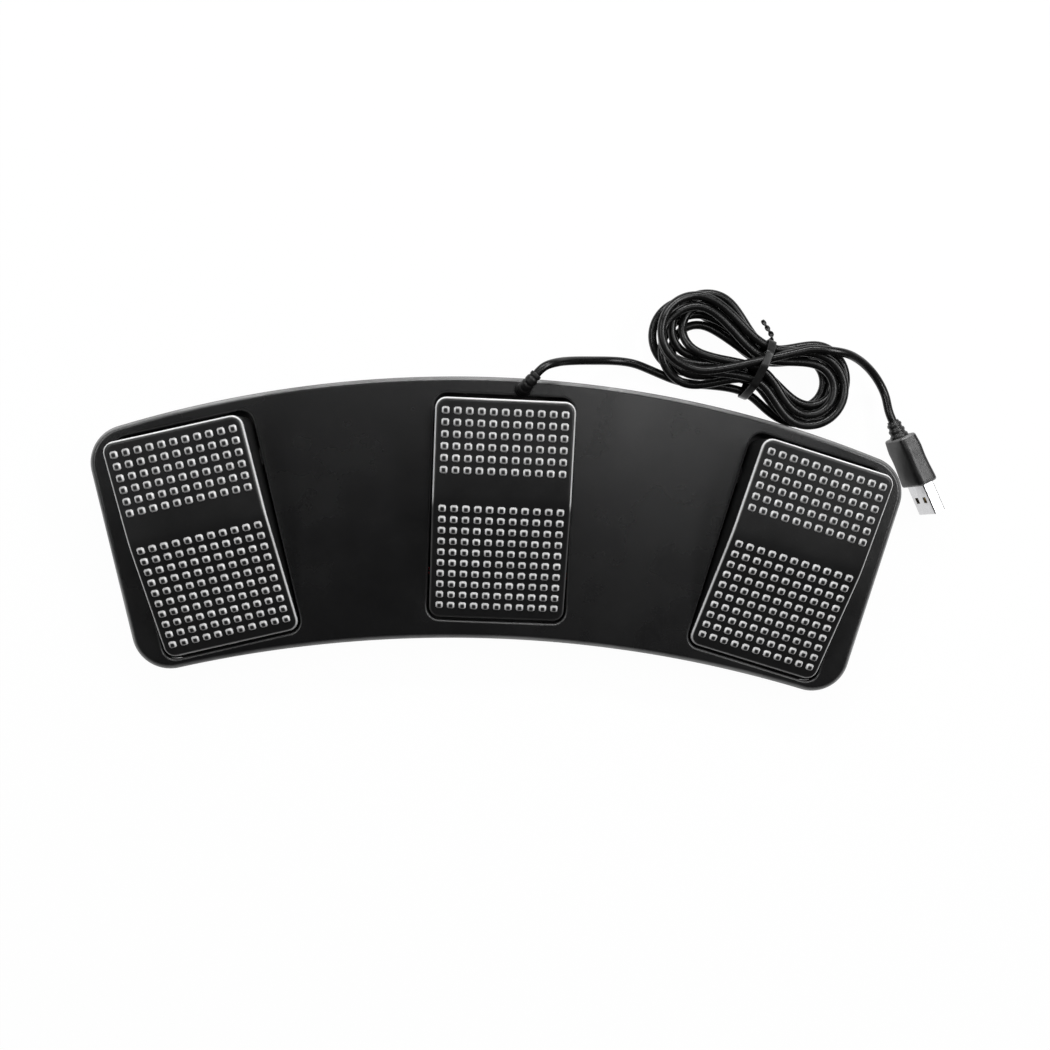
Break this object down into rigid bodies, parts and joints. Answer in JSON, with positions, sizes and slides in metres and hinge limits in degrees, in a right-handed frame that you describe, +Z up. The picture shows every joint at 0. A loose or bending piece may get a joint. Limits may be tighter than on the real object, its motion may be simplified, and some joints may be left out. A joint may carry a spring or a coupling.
{
  "type": "usb foot pedal switch",
  "caption": "Wide arched black foot switch with a row of sprung treadles, each with grip studs, and a tied USB cable with a plug.",
  "frame": {"origin": "on the table, under the middle of the base's box, cable left out", "axes": "+X to the user's right along the row of pedals, +Y to the back where the cable leaves, +Z up"},
  "size_m": [0.3179, 0.1466, 0.0348],
  "materials": {
    "housing": "satin",
    "cover": "matte",
    "pedal": "satin",
    "rubber": "matte",
    "board": "gloss",
    "chip": "matte",
    "steel": "satin",
    "spring": "satin",
    "header": "satin",
    "plunger": "gloss",
    "lead": "satin",
    "cable": "satin",
    "plug": "satin",
    "plug_metal": "gloss",
    "contact": "gloss"
  },
  "bodies": {
    "base": {"top_housing": "housing", "bottom_cover": "cover", "left_hinge_pin": "steel", "middle_hinge_pin": "steel", "right_hinge_pin": "steel", "left_return_spring": "spring", "middle_return_spring": "spring", "right_return_spring": "spring", "left_switch_board": "board", "middle_switch_board": "board", "right_switch_board": "board", "left_switch_body": "chip", "middle_switch_body": "chip", "right_switch_body": "chip", "left_switch_leads": "lead", "middle_switch_leads": "lead", "right_switch_leads": "lead", "main_board": "board", "controller_chip": "chip", "crystal": "steel", "cable_header": "header", "switch_headers": "header", "board_screws": "steel", "housing_screws": "steel", "rubber_feet": "rubber", "pedal_bumpers": "rubber", "cable_clamp": "cover", "inner_cable": "cable", "cable_gland": "cable", "cable_lead": "cable", "cable_hank": "cable", "cable_tail": "cable", "cable_tie": "cable", "plug_overmould": "plug", "plug_shell": "plug_metal", "plug_tongue": "header", "plug_contacts": "contact"},
    "left_pedal": {"left_pedal": "pedal"},
    "left_plunger": {"left_switch_plunger": "plunger"},
    "middle_pedal": {"middle_pedal": "pedal"},
    "middle_plunger": {"middle_switch_plunger": "plunger"},
    "right_pedal": {"right_pedal": "pedal"},
    "right_plunger": {"right_switch_plunger": "plunger"}
  },
  "joints": [
    {"name": "left_pedal_press", "type": "hinge", "parent": "base", "child": "left_pedal", "pos_m": [-0.09796, -0.04016, 0.009], "axis": [-0.9659, -0.2588, 0], "range_deg": [0, 5.5], "stiffness_Nm_per_rad": 2.5, "springref_deg": -5.5, "deforming": ["left_return_spring"]},
    {"name": "left_switch_travel", "type": "slide", "parent": "base", "child": "left_plunger", "axis": [0, 0, -1], "range_m": [0, 0.003]},
    {"name": "middle_pedal_press", "type": "hinge", "parent": "base", "child": "middle_pedal", "pos_m": [0, -0.02726, 0.009], "axis": [-1, 0, 0], "range_deg": [0, 5.5], "stiffness_Nm_per_rad": 2.5, "springref_deg": -5.5, "deforming": ["middle_return_spring"]},
    {"name": "middle_switch_travel", "type": "slide", "parent": "base", "child": "middle_plunger", "axis": [0, 0, -1], "range_m": [0, 0.003]},
    {"name": "right_pedal_press", "type": "hinge", "parent": "base", "child": "right_pedal", "pos_m": [0.09796, -0.04016, 0.009], "axis": [-0.9659, 0.2588, 0], "range_deg": [0, 5.5], "stiffness_Nm_per_rad": 2.5, "springref_deg": -5.5, "deforming": ["right_return_spring"]},
    {"name": "right_switch_travel", "type": "slide", "parent": "base", "child": "right_plunger", "axis": [0, 0, -1], "range_m": [0, 0.003]}
  ],
  "couplings": [
    {"joint": "left_switch_travel", "follows": "left_pedal_press", "m_per_rad": 0.0285},
    {"joint": "middle_switch_travel", "follows": "middle_pedal_press", "m_per_rad": 0.0285},
    {"joint": "right_switch_travel", "follows": "right_pedal_press", "m_per_rad": 0.0285}
  ]
}
